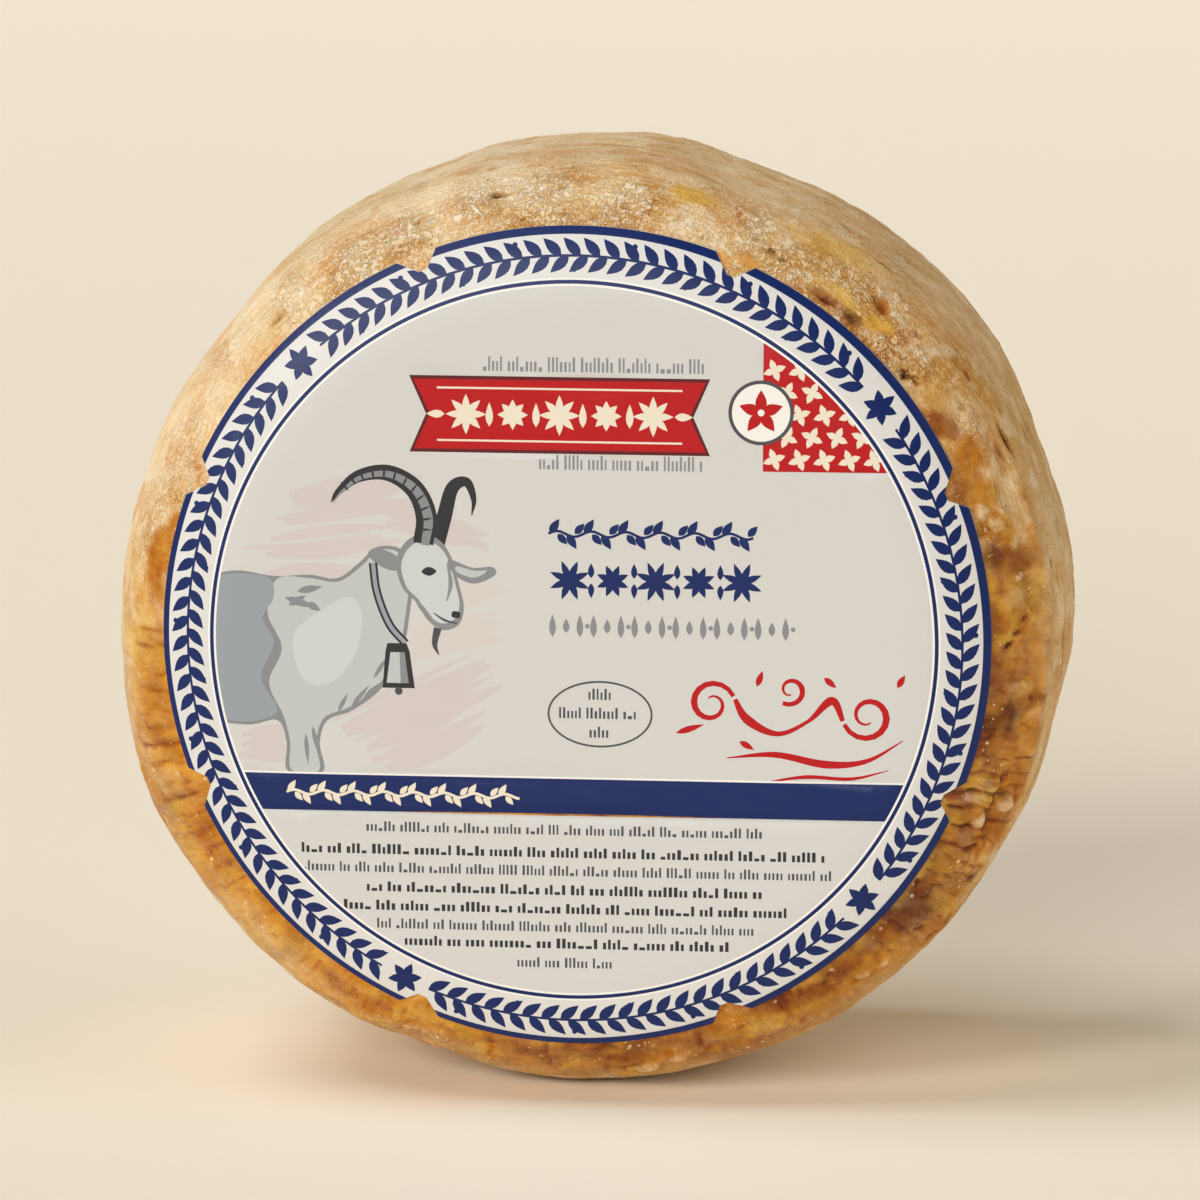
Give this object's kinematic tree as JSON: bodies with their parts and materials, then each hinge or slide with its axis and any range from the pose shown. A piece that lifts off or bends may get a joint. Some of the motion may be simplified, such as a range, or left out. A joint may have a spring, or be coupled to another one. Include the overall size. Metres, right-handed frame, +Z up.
{
  "type": "cheese wheel",
  "caption": "Whole small pressed cheese wheel with a natural rind, standing on its rim, with a round notched paper label on its front face.",
  "frame": {"origin": "on the surface that the wheel stands on, under the middle of its box", "axes": "+Z up; the wheel's axis lies along Y, with the label facing -Y; +X to the right when looking at the label"},
  "size_m": [0.1908, 0.0926, 0.1885],
  "materials": {
    "rind": "natural cheese rind: floury and matt on top, waxy amber low down",
    "label_paper": "coated printed paper, half gloss"
  },
  "bodies": {
    "root": {"cheese_wheel": "rind", "paper_label": "label_paper"}
  },
  "joints": []
}
